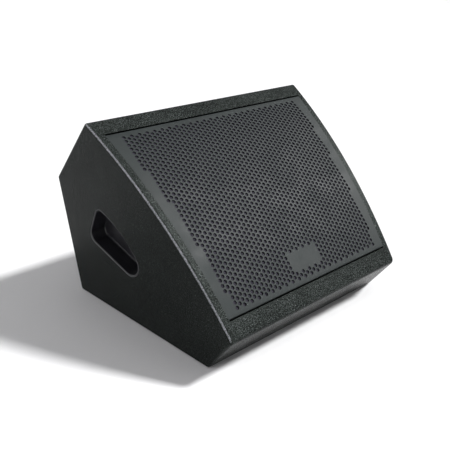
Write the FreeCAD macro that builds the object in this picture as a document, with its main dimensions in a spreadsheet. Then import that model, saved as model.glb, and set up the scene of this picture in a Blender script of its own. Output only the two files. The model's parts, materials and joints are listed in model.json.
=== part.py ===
# Stage monitor wedge: a passive floor loudspeaker with a 12 inch coaxial driver.
#
# Millimetres. The origin is the middle of the resting face: X runs across the cabinet,
# Y from the curved grille (front, -Y) to the connector panel (rear, +Y) and Z up.
# The cabinet is a wedge of 15 mm plywood. Its two side panels are upright but converge
# towards the front, and every board between them runs from one side to the other.
import FreeCAD
import Part
import Sketcher
import math
import os
import re

Vector = FreeCAD.Vector
document = FreeCAD.newDocument("stage_monitor")
sheet = document.addObject("Spreadsheet::Sheet", "Sizes")

SIZES = {
    # Cabinet outline, seen from the side
    "base_depth": 350,
    "knee_back": 213.5,
    "knee_height": 231,
    "crown_back": 108.5,
    "crown_height": 355,
    "toe_back": -228,
    "toe_height": 76.5,
    "front_radius": 1056,
    "corner_round": 7,
    "toe_round": 11,
    "edge_round": 5,
    # Cabinet width: half of it half way back, and how far each side turns out from straight
    "half_width": 236.5,
    "side_angle": 7.4,
    "ply": 15,
    "reach": 320,
    # Boards behind the grille
    "top_rail": 34.5,
    "bottom_rail": 32,
    "baffle_set_back": 20,
    "baffle_thickness": 18,
    "batten_width": 15,
    "cleat": 26,
    # Grille
    "grille_gap": 2.8,
    "grille_side_gap": 0.7,
    "grille_sheet": 1.5,
    "grille_fold": 11,
    "foam_thickness": 5,
    "seat_gap": 0.1,
    "end_gap": 0.5,
    "pin_radius": 3,
    "pin_length": 13,
    "pin_hole_gap": 0.2,
    # Hand grip in each side panel
    "grip_low_back": -30.4,
    "grip_low_height": 83.8,
    "grip_rear_back": 126.8,
    "grip_rear_height": 136.3,
    "grip_top_back": 97.3,
    "grip_top_height": 201.3,
    "grip_bow": 175.4,
    "grip_low_round": 23,
    "grip_rear_round": 15,
    "grip_top_round": 15,
    "grip_edge": 1,
    "cup_depth": 16,
    "cup_floor_round": 3,
    "cup_wall": 2.5,
    "cup_gap": 0.2,
    "cup_lip": 1.8,
    "flange_width": 15,
    "flange_thickness": 3,
    # Loudspeaker: radii from its axis, depths from the baffle's front face
    "basket_radius": 157,
    "basket_front": 8,
    "gasket_thickness": 2,
    "cutout_radius": 142,
    "landing_radius": 141,
    "landing_depth": 5,
    "bolt_circle": 149.5,
    "bolt_hole": 2.8,
    "cone_lip_radius": 124,
    "surround_inner": 117,
    "surround_roll": 6.2,
    "rubber": 1.2,
    "paper": 1.6,
    "neck_radius": 37.9,
    "neck_depth": 46,
    "former_radius": 37,
    "former_wall": 0.6,
    "former_end": 90,
    "winding": 1.4,
    "winding_height": 15,
    "gap_radius": 40.1,
    "pole_radius": 36.2,
    "motor_front": 76,
    "plate_thickness": 9,
    "plate_radius": 78,
    "magnet_height": 28,
    "magnet_inner": 48,
    "magnet_radius": 84,
    "throat_radius": 12.5,
    "horn_mouth": 33.5,
    "horn_length": 24,
    "spider_radius": 92,
    "spider_depth": 60,
    "spider_cloth": 0.8,
    "tweeter_radius": 46,
    "tweeter_plate": 8,
    "tweeter_magnet": 16,
    "tweeter_cover": 14,
    "dome_radius": 22,
    "dome_rise": 5,
    "dome_foil": 0.5,
    # Bass ports
    "port_radius": 25,
    "port_wall": 2.5,
    "port_length": 62,
    "port_side": 168,
    "port_up": 128,
    # Connector plate and sockets
    "input_width": 128,
    "input_height": 82,
    "input_sheet": 1.5,
    "input_up": -12,
    "input_margin": 7,
    "window_width": 98,
    "window_height": 56,
    "socket_spacing": 52,
    "socket_width": 26,
    "socket_height": 31,
    "socket_flange": 2,
    "socket_barrel": 11.8,
    "socket_bore": 8.5,
    "socket_bore_depth": 19,
    "socket_length": 27,
    # Crossover
    "board_width": 170,
    "board_depth": 62,
    "board_thickness": 1.6,
    "board_stand": 8,
    "board_back": 101,
    "coil_radius": 21,
    "coil_bore": 9,
    "coil_height": 22,
    "capacitor_radius": 8,
    "capacitor_height": 24,
    "wadding": 25,
    # Small fixings
    "screw_radius": 1.75,
    "screw_head": 3.6,
    "screw_clearance": 2.0,
    "bolt_radius": 2.5,
    "bolt_head": 4.6,
}

for row, (alias, size) in enumerate(SIZES.items(), start=1):
    sheet.set(f"A{row}", alias)
    sheet.set(f"B{row}", str(size))
    sheet.setAlias(f"B{row}", alias)
document.recompute()


# ---------------------------------------------------------------- expressions


def bound(expression):
    """Turn 'ply * 2' into 'Sizes.ply * 2', the form an expression in the document needs."""
    return re.sub(r"[a-z_]+", lambda word: f"Sizes.{word[0]}" if word[0] in SIZES else word[0],
                  str(expression))


def number(expression):
    """Value of an expression in millimetres or degrees."""
    result = sheet.evalExpression(bound(expression))
    return float(getattr(result, "Value", result))


def bind(item, **expressions):
    """Bind properties of a document object; a double underscore stands for a dot."""
    for name, expression in expressions.items():
        item.setExpression(name.replace("__", "."), bound(expression))


# Corners of the side outline as (distance back, height), counter-clockwise from the front.
FRONT = ("-base_depth / 2", "0")
HEEL = ("base_depth / 2", "0")
KNEE = ("knee_back", "knee_height")
CROWN = ("crown_back", "crown_height")
TOE = ("toe_back", "toe_height")

SLOPE = "atan2(crown_height - toe_height; crown_back - toe_back)"
CHORD = "hypot(crown_back - toe_back; crown_height - toe_height)"
PLY_ACROSS = "ply / cos(side_angle)"


def direction(start, end):
    """Unit vector from one corner to another, as two expressions."""
    run = f"(({end[0]}) - ({start[0]}))"
    rise = f"(({end[1]}) - ({start[1]}))"
    return f"({run} / hypot({run}; {rise}))", f"({rise} / hypot({run}; {rise}))"


def apart(start, end):
    """Distance between two corners."""
    return f"hypot(({end[0]}) - ({start[0]}); ({end[1]}) - ({start[1]}))"


def inset(before, corner, after, depth):
    """The point where both walls of a corner, each `depth` thick, meet on the inside."""
    run_in, rise_in = direction(before, corner)
    run_out, rise_out = direction(corner, after)
    share = f"({depth}) / (1 + {run_in} * {run_out} + {rise_in} * {rise_out})"
    return (f"({corner[0]}) - {share} * ({rise_in} + {rise_out})",
            f"({corner[1]}) + {share} * ({run_in} + {run_out})")


# ------------------------------------------------------------------- sketches


def origin_plane(body, role):
    return next(item for item in body.Origin.OriginFeatures if item.Role == role)


def new_body(label):
    body = document.addObject("PartDesign::Body", label)
    body.Label = label
    return body


def new_sketch(body, plane, lift="0"):
    """A sketch on one of the body's own origin planes, or `lift` in front of it."""
    sketch = body.newObject("Sketcher::SketchObject", body.Name + "_sketch")
    sketch.AttachmentSupport = [(origin_plane(body, plane), "")]
    sketch.MapMode = "FlatFace"
    sketch.AttachmentOffset.Base.z = number(lift)
    sketch.setExpression("AttachmentOffset.Base.z", bound(lift))
    return sketch


def constrain(sketch, expression, *constraint):
    index = sketch.addConstraint(Sketcher.Constraint(*constraint, number(expression)))
    sketch.setExpression(f"Constraints[{index}]", bound(expression))


def arc_between(start, end, radius, counter_clockwise):
    """Short arc from start to end, and which of its ends (1 or 2) is the start."""
    half = (end - start) / 2
    height = math.sqrt(max(radius ** 2 - half.Length ** 2, 0))
    across = Vector(-half.y, half.x, 0).normalize()
    side = 1 if counter_clockwise else -1
    centre = start + half + across * (side * height)
    angles = [math.atan2(point.y - centre.y, point.x - centre.x) for point in (start, end)]
    if not counter_clockwise:
        angles.reverse()
    circle = Part.Circle(centre, Vector(0, 0, 1), radius)
    return Part.ArcOfCircle(circle, *angles), (1 if counter_clockwise else 2)


def outline(sketch, path):
    """Draw a closed outline and fix each of its points to the sheet.

    Each entry is a point (x, y), reached by a straight run, or (x, y, radius, turn),
    reached by an arc that turns "left" or "right".
    """
    points = [Vector(number(step[0]), number(step[1]), 0) for step in path]
    first_end = []
    first = sketch.GeometryCount
    for index, step in enumerate(path):
        start = points[index - 1]
        if len(step) == 2:
            sketch.addGeometry(Part.LineSegment(start, points[index]))
            first_end.append(1)
        else:
            arc, end = arc_between(start, points[index], number(step[2]), step[3] == "left")
            sketch.addGeometry(arc)
            first_end.append(end)
    for index, step in enumerate(path):
        here = first + index
        following = first + (index + 1) % len(path)
        last_point = 3 - first_end[index]
        next_point = first_end[(index + 1) % len(path)]
        sketch.addConstraint(Sketcher.Constraint("Coincident", here, last_point, following, next_point))
        constrain(sketch, step[0], "DistanceX", -1, 1, here, last_point)
        constrain(sketch, step[1], "DistanceY", -1, 1, here, last_point)
        if len(step) > 2:
            constrain(sketch, step[2], "Radius", here)


def circle(sketch, across, up, radius):
    index = sketch.addGeometry(Part.Circle(Vector(number(across), number(up), 0), Vector(0, 0, 1),
                                           number(radius)))
    constrain(sketch, across, "DistanceX", -1, 1, index, 3)
    constrain(sketch, up, "DistanceY", -1, 1, index, 3)
    constrain(sketch, radius, "Radius", index)


def rectangle(sketch, left, low, right, high):
    outline(sketch, [(left, low), (right, low), (right, high), (left, high)])


# ------------------------------------------------------------------- features


def pad(body, sketch, length, both_ways=False, backwards=False):
    feature = body.newObject("PartDesign::Pad", body.Name + "_pad")
    feature.Profile = sketch
    feature.Midplane = both_ways
    feature.Reversed = backwards
    bind(feature, Length=length)
    sketch.Visibility = False
    document.recompute()
    return feature


def pocket(body, sketch, length, backwards=False):
    """Cut a sketch's outline out of the body, and make sure that it does cut."""
    before = body.Shape.Volume
    feature = body.newObject("PartDesign::Pocket", body.Name + "_pocket")
    feature.Profile = sketch
    feature.Reversed = backwards
    bind(feature, Length=length)
    document.recompute()
    if body.Shape.Volume > before - 1:
        raise RuntimeError(f"{body.Label}: pocket cuts nothing")
    return feature


def round_edges(body, feature, radius, chosen):
    """Fillet the feature's edges for which chosen(edge) is true."""
    names = [f"Edge{n}" for n, edge in enumerate(feature.Shape.Edges, start=1) if chosen(edge)]
    fillet = body.newObject("PartDesign::Fillet", body.Name + "_round")
    fillet.Base = (feature, names)
    bind(fillet, Radius=radius)
    document.recompute()
    return fillet


def turned(label, path, place=None):
    """A solid of revolution about local Z, from a (radius, height) outline."""
    body = new_body(label)
    sketch = new_sketch(body, "XZ_Plane")
    outline(sketch, path)
    feature = body.newObject("PartDesign::Revolution", label + "_turn")
    feature.Profile = sketch
    feature.ReferenceAxis = (sketch, ["V_Axis"])
    feature.Angle = 360
    if place:
        place(body)
    document.recompute()
    return body


def boolean(kind, label, base, tool):
    result = document.addObject(kind, label)
    result.Label = label
    result.Base = base
    result.Tool = tool
    document.recompute()
    return result


def common(label, base, tool):
    return boolean("Part::Common", label, base, tool)


def cut(label, base, tool):
    return boolean("Part::Cut", label, base, tool)


def mirrored(label, source):
    """The same piece on the other side of the cabinet."""
    result = document.addObject("Part::Mirroring", label)
    result.Label = label
    result.Source = source
    result.Normal = Vector(1, 0, 0)
    document.recompute()
    return result


def gathered(label, solids):
    """One node of separate, identical solids."""
    result = document.addObject("Part::Feature", label)
    result.Label = label
    result.Shape = Part.makeCompound(solids)
    return result


# --------------------------------------------------------------------- places


def set_place(body, back, height, axis, angle, across="0"):
    """Bind a body's placement: a turn about X or Z, then a move."""
    body.Placement = FreeCAD.Placement(Vector(number(across), number(back), number(height)),
                                       FreeCAD.Rotation(axis, number(angle)))
    body.setExpression("Placement.Base.x", bound(across))
    body.setExpression("Placement.Base.y", bound(back))
    body.setExpression("Placement.Base.z", bound(height))
    body.setExpression("Placement.Rotation.Angle", bound(angle))


def on_baffle(body):
    """Local Z points out through the grille, local Y up the slope, from the baffle's face."""
    set_place(body,
              f"(crown_back + toe_back) / 2 + baffle_set_back * sin({SLOPE})",
              f"(crown_height + toe_height) / 2 - baffle_set_back * cos({SLOPE})",
              Vector(1, 0, 0), SLOPE)


def on_rear(body):
    """Local Y climbs the rear panel's outer face from its middle, local Z points inwards."""
    set_place(body, "(base_depth / 2 + knee_back) / 2", "knee_height / 2",
              Vector(1, 0, 0), "atan2(knee_height; knee_back - base_depth / 2)")


def on_left_side(body):
    """Local Y runs back along the left panel's inner face, local X points inwards."""
    set_place(body, "0", "0", Vector(0, 0, 1), "side_angle", f"{PLY_ACROSS} - half_width")


# ------------------------------------------------------------ cabinet volumes


def plan_slab(label, outer, inner):
    """A tall slab on the left, between two upright planes that converge like the sides.

    outer and inner are the planes' distances from the middle, half way back.
    """
    body = new_body(label)
    sketch = new_sketch(body, "XY_Plane")
    spread = "reach * tan(side_angle)"
    outline(sketch, [
        (f"-1 * ({outer}) + {spread}", "-reach"),
        (f"-1 * ({inner}) + {spread}", "-reach"),
        (f"-1 * ({inner}) - {spread}", "reach"),
        (f"-1 * ({outer}) - {spread}", "reach"),
    ])
    pad(body, sketch, "crown_height * 1.2")
    return body


def plan_middle(label, half):
    """A tall slab across the whole cabinet, `half` wide each way half way back."""
    body = new_body(label)
    sketch = new_sketch(body, "XY_Plane")
    spread = "reach * tan(side_angle)"
    outline(sketch, [
        (f"-({half}) + {spread}", "-reach"),
        (f"{half} - {spread}", "-reach"),
        (f"{half} + {spread}", "reach"),
        (f"-({half}) - {spread}", "reach"),
    ])
    pad(body, sketch, "crown_height * 1.2")
    return body


def across_cabinet(label, path, plane="YZ_Plane"):
    """A bar with the given side-view outline that runs through the whole width."""
    body = new_body(label)
    sketch = new_sketch(body, plane)
    outline(sketch, path)
    pad(body, sketch, "half_width * 3", both_ways=True)
    return body


def along_x(edge):
    """True for a straight edge that runs across the cabinet."""
    if edge.Curve.TypeId != "Part::GeomLine":
        return False
    return abs(edge.tangentAt(edge.FirstParameter).x) > 0.99


def wedge():
    """The whole cabinet's side outline, with its long corners rounded."""
    body = across_cabinet("wedge", [FRONT, HEEL, KNEE, CROWN, (*TOE, "front_radius", "left")])
    toe = number("toe_back")

    def at_toe(edge):
        return along_x(edge) and abs(edge.CenterOfMass.y - toe) < 1

    feature = round_edges(body, body.Tip, "corner_round", lambda edge: along_x(edge) and not at_toe(edge))
    round_edges(body, feature, "toe_round", at_toe)
    return body


WEDGE = wedge()
CORE = common("core", WEDGE, plan_middle("core_plan", f"half_width - {PLY_ACROSS}"))


def cavity():
    """Everything inside the boards that close the cabinet, out to the front surface."""
    prism = across_cabinet("cavity_prism", [
        inset(TOE, FRONT, HEEL, "ply"),
        inset(FRONT, HEEL, KNEE, "ply"),
        inset(HEEL, KNEE, CROWN, "ply"),
        inset(KNEE, CROWN, TOE, "ply"),
        CROWN,
        (*TOE, "front_radius", "left"),
        inset(CROWN, TOE, FRONT, "ply"),
    ])
    return common("cavity", prism, CORE)


CAVITY = cavity()


# ----------------------------------------------------------------- enclosure


def board_between(label, before, start, end, after):
    """A mitred board along one straight edge of the side outline."""
    rough = across_cabinet(label + "_rough", [
        start,
        end,
        inset(start, end, after, "ply"),
        inset(before, start, end, "ply"),
    ])
    return rough


def grip_block(label, grow, start, end, floor_round=None):
    """The hand hole's outline grown by a wall, from one depth behind the panel's inner face
    to another, with its floor's edge rounded.

    The grown bow keeps its rise over the chord, so it stays about parallel to the hole's.
    """
    low, rear, top = ((f"grip_{name}_back / cos(side_angle)", f"grip_{name}_height")
                      for name in ("low", "rear", "top"))
    corners = {
        "rear": inset(low, rear, top, f"-1 * ({grow})"),
        "top": inset(rear, top, low, f"-1 * ({grow})"),
        "low": inset(top, low, rear, f"-1 * ({grow})"),
    }
    chord = apart(low, top)
    rise = f"(grip_bow - sqrt(grip_bow ^ 2 - {chord} ^ 2 / 4))"
    bow = f"({apart(corners['low'], corners['top'])} ^ 2 / 4 + {rise} ^ 2) / (2 * {rise})"
    body = new_body(label)
    sketch = new_sketch(body, "YZ_Plane", start)
    outline(sketch, [corners["rear"], corners["top"], (*corners["low"], bow, "left")])
    feature = pad(body, sketch, f"({end}) - ({start})")
    for name in corners:
        place = number(corners[name][0])
        feature = round_edges(body, feature, f"grip_{name}_round + {grow}",
                              lambda edge: along_x(edge) and abs(edge.CenterOfMass.y - place) < 1)
    if floor_round:
        deep = number(end)
        round_edges(body, feature, floor_round, lambda edge: abs(edge.BoundBox.XMin - deep) < 0.01)
    on_left_side(body)
    return body


GRIP_HOLE = grip_block("grip_hole", "cup_wall + cup_gap", "-ply * 2", "ply")


def bottom_panel():
    return common("bottom_panel", board_between("bottom_panel", TOE, FRONT, HEEL, KNEE), CORE)


def toe_panel():
    return common("toe_panel", board_between("toe_panel", CROWN, TOE, FRONT, HEEL), CORE)


def upper_rear_panel():
    return common("upper_rear_panel", board_between("upper_rear_panel", HEEL, KNEE, CROWN, TOE), CORE)


def rear_panel():
    """Lower rear board, with a window for the connectors and pilot holes for their plate."""
    rough = board_between("rear_panel", FRONT, HEEL, KNEE, CROWN)
    board = common("rear_panel_board", rough, CORE)
    window = new_body("rear_window")
    sketch = new_sketch(window, "XY_Plane")
    rectangle(sketch, "-window_width / 2", "input_up - window_height / 2",
              "window_width / 2", "input_up + window_height / 2")
    pad(window, sketch, "ply * 3", both_ways=True)
    on_rear(window)
    pilots = bars("rear_pilots", plate_corners(), "screw_clearance", "-ply", "ply * 2", on_rear)
    return cut("rear_panel", cut("rear_panel_window", board, window), pilots)


def plate_corners():
    """Centres of the connector plate's four screws."""
    side = "(input_width / 2 - input_margin)"
    rise = "(input_height / 2 - input_margin)"
    return [(f"{x}{side}", f"input_up {z} {rise}") for x in ("-", "") for z in ("-", "+")]


def bars(label, centres, radius, low, high, place=None, lying=False):
    """A group of round bars between two depths, for holes, shanks, heads and posts.

    They stand along local Z at (x, y) centres, or lie along local X at (y, z) centres.
    low and high may be functions of the centre's second coordinate.
    """
    group = document.addObject("Part::Compound", label)
    group.Label = label
    links = []
    for index, centre in enumerate(centres):
        bottom, top = (end(centre[1]) if callable(end) else end for end in (low, high))
        bar = document.addObject("Part::Cylinder", f"{label}_{index}")
        bind(bar, Radius=radius, Height=f"({top}) - ({bottom})")
        first, second = (number(value) for value in centre)
        if lying:
            turn = FreeCAD.Rotation(Vector(0, 1, 0), 90)
            bar.Placement = FreeCAD.Placement(Vector(number(bottom), first, second), turn)
        else:
            bar.Placement.Base = Vector(first, second, number(bottom))
        links.append(bar)
    group.Links = links
    if place:
        place(group)
    document.recompute()
    return group


def side_panel_left():
    """Upright board with the hand hole, rounded all round its outer face."""
    slab = plan_slab("side_slab", "half_width", f"half_width - {PLY_ACROSS}")
    board = cut("side_board", common("side_blank", WEDGE, slab), GRIP_HOLE)
    drilled = cut("side_drilled", board, cup_pilots("cup_pilots"))
    outer = [(edge_number, edge) for edge_number, edge in enumerate(drilled.Shape.Edges, start=1)
             if on_outer_face(edge)]
    rounded = document.addObject("Part::Fillet", "side_panel_left")
    rounded.Label = "side_panel_left"
    rounded.Base = drilled
    for edge_number, edge in outer:
        radius = number("grip_edge" if inside_grip(edge) else "edge_round")
        rounded.Edges = [*rounded.Edges, (edge_number, radius, radius)]
    document.recompute()
    return rounded


def on_outer_face(edge):
    """True if both ends and the middle of an edge lie in the left side's outer plane."""
    spread = math.tan(math.radians(number("side_angle")))
    middle = edge.valueAt((edge.FirstParameter + edge.LastParameter) / 2)
    return all(abs(p.x + number("half_width") + p.y * spread) < 0.05
               for p in [middle] + [vertex.Point for vertex in edge.Vertexes])


def inside_grip(edge):
    """True for the hand hole's edges, which lie well inside the panel's outline."""
    box = edge.BoundBox
    margin = number("cup_wall * 3")
    backs = number("grip_low_back") - margin, number("grip_rear_back") + margin
    heights = number("grip_low_height") - margin, number("grip_top_height") + margin
    return (backs[0] < box.YMin and box.YMax < backs[1]
            and heights[0] < box.ZMin and box.ZMax < heights[1])


def cup_fixings():
    """Four screw places round the hand hole, in the side panel's plane, as (back, height).

    One is below the middle of the lower edge, one behind the rear edge and two over the bow.
    """
    low, rear, top = (Vector(number(f"grip_{name}_back / cos(side_angle)"),
                             number(f"grip_{name}_height"), 0)
                      for name in ("low", "rear", "top"))
    out = number("flange_width / 2")
    places = []
    for start, end in ((low, rear), (rear, top)):
        along = (end - start).normalize()
        places.append((start + end) / 2 + Vector(along.y, -along.x, 0) * out)
    bow, _ = arc_between(top, low, number("grip_bow"), True)
    for share in (0.3, 0.62):
        point = bow.value(bow.FirstParameter + share * (bow.LastParameter - bow.FirstParameter))
        places.append(point + (point - bow.Center).normalize() * out)
    return [(place.x, place.y) for place in places]


def cup_pilots(label):
    """Screw holes for the hand cup, right through its flange and partly through the panel."""
    return bars(label, cup_fixings(), "screw_clearance", "-ply * 0.8", "flange_thickness * 2",
                on_left_side, lying=True)


# --------------------------------------------------- boards behind the grille


def tilted_bar(label, path):
    """A bar across the cabinet, its outline given in the baffle's frame (up the slope, out)."""
    body = new_body(label)
    sketch = new_sketch(body, "YZ_Plane")
    outline(sketch, path)
    pad(body, sketch, "half_width * 3", both_ways=True)
    on_baffle(body)
    return body


TOP_EDGE = f"({CHORD}) / 2 - top_rail"
BOTTOM_EDGE = f"bottom_rail - ({CHORD}) / 2"


def top_rail():
    rough = tilted_bar("top_rail_rough", [
        (TOP_EDGE, "0"),
        (f"({CHORD}) / 2 + top_rail", "0"),
        (f"({CHORD}) / 2 + top_rail", "top_rail * 2"),
        (TOP_EDGE, "top_rail * 2"),
    ])
    return common("top_rail", rough, CAVITY)


def bottom_rail():
    rough = tilted_bar("bottom_rail_rough", [
        (f"-1 * ({CHORD}) / 2 - bottom_rail", "0"),
        (BOTTOM_EDGE, "0"),
        (BOTTOM_EDGE, "bottom_rail * 2"),
        (f"-1 * ({CHORD}) / 2 - bottom_rail", "bottom_rail * 2"),
    ])
    return common("bottom_rail", rough, CAVITY)


def bolt_places(count=8):
    """Centres of the driver's bolts, evenly round their circle."""
    return [(f"bolt_circle * cos({(index + 0.5) * 360 / count})",
             f"bolt_circle * sin({(index + 0.5) * 360 / count})") for index in range(count)]


def baffle():
    """Board that carries the driver and both ports."""
    body = new_body("baffle_rough")
    blank = new_sketch(body, "XY_Plane")
    rectangle(blank, "-reach", "-reach", "reach", "reach")
    pad(body, blank, "baffle_thickness", backwards=True)
    openings = body.newObject("Sketcher::SketchObject", "baffle_openings")
    openings.AttachmentSupport = [(origin_plane(body, "XY_Plane"), "")]
    openings.MapMode = "FlatFace"
    circle(openings, "0", "0", "cutout_radius")
    for side in ("-", ""):
        circle(openings, f"{side}port_side", "port_up", "port_radius + port_wall")
    for across, up in bolt_places():
        circle(openings, across, up, "bolt_hole")
    pocket(body, openings, "baffle_thickness * 2", backwards=False)
    on_baffle(body)
    return common("baffle", body, CAVITY)


def arc_height(along, below):
    """Height over the baffle of the front surface's arc, `below` mm under its outside."""
    drop = f"sqrt(front_radius ^ 2 - ({CHORD}) ^ 2 / 4)"
    return f"sqrt((front_radius - ({below})) ^ 2 - ({along}) ^ 2) - {drop} + baffle_set_back"


GRILLE_TOP = f"{TOP_EDGE} - grille_gap"
GRILLE_LOW = f"{BOTTOM_EDGE} + grille_gap"


def batten_left():
    """Curved strip on the left wall that the grille's rim rests on."""
    under = "grille_sheet + seat_gap"
    top = f"{GRILLE_TOP} - grille_sheet - end_gap"
    low = f"{GRILLE_LOW} + grille_sheet + end_gap"
    rough = tilted_bar("batten_rough", [
        (low, "0"),
        (top, "0"),
        (top, arc_height(top, under)),
        (low, arc_height(low, under), f"front_radius - ({under})", "left"),
    ])
    slab = plan_slab("batten_slab", f"half_width - {PLY_ACROSS}",
                     f"half_width - {PLY_ACROSS} - batten_width")
    strip = common("batten_strip", rough, slab)
    return cut("batten_left", strip, pin_holes())


def pin_centres():
    """Centres of the grille's three press pins in the baffle's frame, on the left batten."""
    slope = f"cos({SLOPE}) * tan(side_angle)"
    middle = f"half_width - {PLY_ACROSS} - batten_width / 2"
    back = "(crown_back + toe_back) / 2 * tan(side_angle)"
    ups = [f"{share} * ({CHORD})" for share in (-0.36, 0, 0.36)]
    return [(f"-1 * ({middle} + {back} + {up} * {slope})", up) for up in ups]


def pin_holes():
    return bars("pin_holes", pin_centres(), "pin_radius + pin_hole_gap",
                lambda up: f"{arc_height(up, 'grille_sheet')} - pin_length - 2",
                lambda up: f"{arc_height(up, 'grille_sheet')} + 5", on_baffle)


def grille_pins_left():
    """Press pins behind the grille's rim."""
    return bars("grille_pins_left", pin_centres(), "pin_radius",
                lambda up: f"{arc_height(up, 'grille_sheet')} - pin_length",
                lambda up: f"{arc_height(up, 'grille_sheet')} - 1.2", on_baffle)


def grille():
    """Curved steel sheet, folded back along its top and bottom edges."""
    top_fold = f"{GRILLE_TOP} - grille_sheet"
    low_fold = f"{GRILLE_LOW} + grille_sheet"
    top = arc_height(GRILLE_TOP, "0")
    low = arc_height(GRILLE_LOW, "0")
    bent = tilted_bar("grille_bent", [
        (GRILLE_TOP, f"{top} - grille_fold"),
        (GRILLE_TOP, top),
        (GRILLE_LOW, low, "front_radius", "left"),
        (GRILLE_LOW, f"{low} - grille_fold"),
        (low_fold, f"{low} - grille_fold"),
        (low_fold, arc_height(low_fold, "grille_sheet")),
        (top_fold, arc_height(top_fold, "grille_sheet"), "front_radius - grille_sheet", "right"),
        (top_fold, f"{top} - grille_fold"),
    ])
    plan = plan_middle("grille_plan", f"half_width - {PLY_ACROSS} - grille_side_gap")
    return common("grille", bent, plan)


def grille_foam():
    """Sheet of open-cell foam behind the holes, between the battens."""
    top = f"{GRILLE_TOP} - grille_sheet - end_gap * 2"
    low = f"{GRILLE_LOW} + grille_sheet + end_gap * 2"
    upper = "grille_sheet + seat_gap"
    lower = "grille_sheet + seat_gap + foam_thickness"
    bent = tilted_bar("foam_bent", [
        (top, arc_height(top, upper)),
        (low, arc_height(low, upper), f"front_radius - ({upper})", "left"),
        (low, arc_height(low, lower)),
        (top, arc_height(top, lower), f"front_radius - ({lower})", "right"),
    ])
    return common("grille_foam", bent,
                  plan_middle("foam_plan", f"half_width - {PLY_ACROSS} - batten_width - 1"))


def cleat(label, low_back, low, high_back, high):
    """Glue block in an inside corner of the enclosure."""
    rough = across_cabinet(label + "_rough", [
        (low_back, low), (high_back, low), (high_back, high), (low_back, high)])
    return common(label, rough, CAVITY)


# ------------------------------------------------------------------ hand cups


def hand_cup_left():
    """Moulded cup that lines the hand hole, with a flange on the panel's inner face."""
    inner = grip_block("cup_inner", "0", "-ply * 2", "cup_depth", "cup_floor_round")
    outer = grip_block("cup_outer", "cup_wall", "-ply", "cup_depth + cup_wall",
                       "cup_floor_round + cup_wall")
    flange = grip_block("cup_flange", "flange_width", "0", "flange_thickness")
    joined = boolean("Part::Fuse", "cup_joined", outer, flange)
    hollow = cut("cup_hollow", joined, inner)
    drilled = cut("cup_drilled", hollow, cup_pilots("cup_flange_holes"))
    rounded = document.addObject("Part::Fillet", "hand_cup_left")
    rounded.Label = "hand_cup_left"
    rounded.Base = drilled
    lip = number("cup_lip")
    rounded.Edges = [(edge_number, lip, lip) for edge_number in lip_edges(drilled.Shape)]
    document.recompute()
    return rounded


def lip_edges(shape):
    """Numbers of the edges round the inside of the cup's open end."""
    ends = [face for face in shape.Faces if all(on_outer_face(edge) for edge in face.Edges)]
    rims = [wire for face in ends for wire in face.Wires if not wire.isSame(face.OuterWire)]
    inside = [edge for rim in rims for edge in rim.Edges]
    return [edge_number for edge_number, edge in enumerate(shape.Edges, start=1)
            if any(edge.isSame(other) for other in inside)]


def cup_screws_left():
    """Four pan-head screws that hold the hand cup's flange to the panel, as separate solids."""
    heads = bars("cup_screw_heads", cup_fixings(), "screw_head", "flange_thickness",
                 "flange_thickness + 2.2", on_left_side, lying=True)
    shanks = bars("cup_screw_shanks", cup_fixings(), "screw_radius", "-ply * 0.72",
                  "flange_thickness + 1", on_left_side, lying=True)
    return paired("cup_screws_left", heads, shanks)


def paired(label, heads, shanks):
    """Fuse each head with its own shank, and gather the screws in one node."""
    solids = [head.fuse(shank).removeSplitter()
              for head, shank in zip(heads.Shape.Solids, shanks.Shape.Solids)]
    return gathered(label, solids)


# -------------------------------------------------------------------- woofer


def rings(label, inner, outer, low, high):
    """A plain ring about the driver's axis."""
    return turned(label, [(inner, low), (outer, low), (outer, high), (inner, high)], on_baffle)


def gasket():
    ring = rings("gasket_ring", "cutout_radius + 1", "basket_radius", "0", "gasket_thickness")
    return cut("gasket", ring, bolt_drill("gasket_holes"))


def bolt_drill(label):
    return bars(label, bolt_places(), "bolt_hole", "-baffle_thickness * 1.5", "basket_front * 2", on_baffle)


def basket():
    """Cast frame: front flange, six spokes, spider shelf and a seat for the motor."""
    frame = turned("basket_casting", [
        ("basket_radius", "gasket_thickness"),
        ("basket_radius", "basket_front"),
        ("landing_radius", "basket_front"),
        ("landing_radius", "landing_depth"),
        ("landing_radius - 6", "landing_depth"),
        ("landing_radius - 6", "-6"),
        ("spider_radius + 4", "-spider_depth"),
        ("spider_radius - 6", "-spider_depth"),
        ("spider_radius - 10", "4 - motor_front"),
        ("plate_radius - 28", "4 - motor_front"),
        ("plate_radius - 28", "-motor_front"),
        ("plate_radius + 4", "-motor_front"),
        ("spider_radius + 1", "-spider_depth - 4"),
        ("spider_radius + 9", "-spider_depth"),
        ("landing_radius - 1", "-8"),
        ("landing_radius - 1", "gasket_thickness"),
    ], on_baffle)
    windows = []
    for index in range(6):
        window = document.addObject("Part::Box", f"basket_window_{index}")
        bind(window, Length="landing_radius", Width="spider_radius * 0.78", Height="spider_depth - 22")
        turn = FreeCAD.Rotation(Vector(0, 0, 1), index * 60)
        corner = Vector(number("spider_radius") * 0.9, -number("spider_radius") * 0.39,
                        9 - number("spider_depth"))
        window.Placement = FreeCAD.Placement(turn.multVec(corner), turn)
        windows.append(window)
    group = document.addObject("Part::Compound", "basket_windows")
    group.Links = windows
    on_baffle(group)
    document.recompute()
    return cut("basket", cut("basket_open", frame, group), bolt_drill("basket_holes"))


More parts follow.
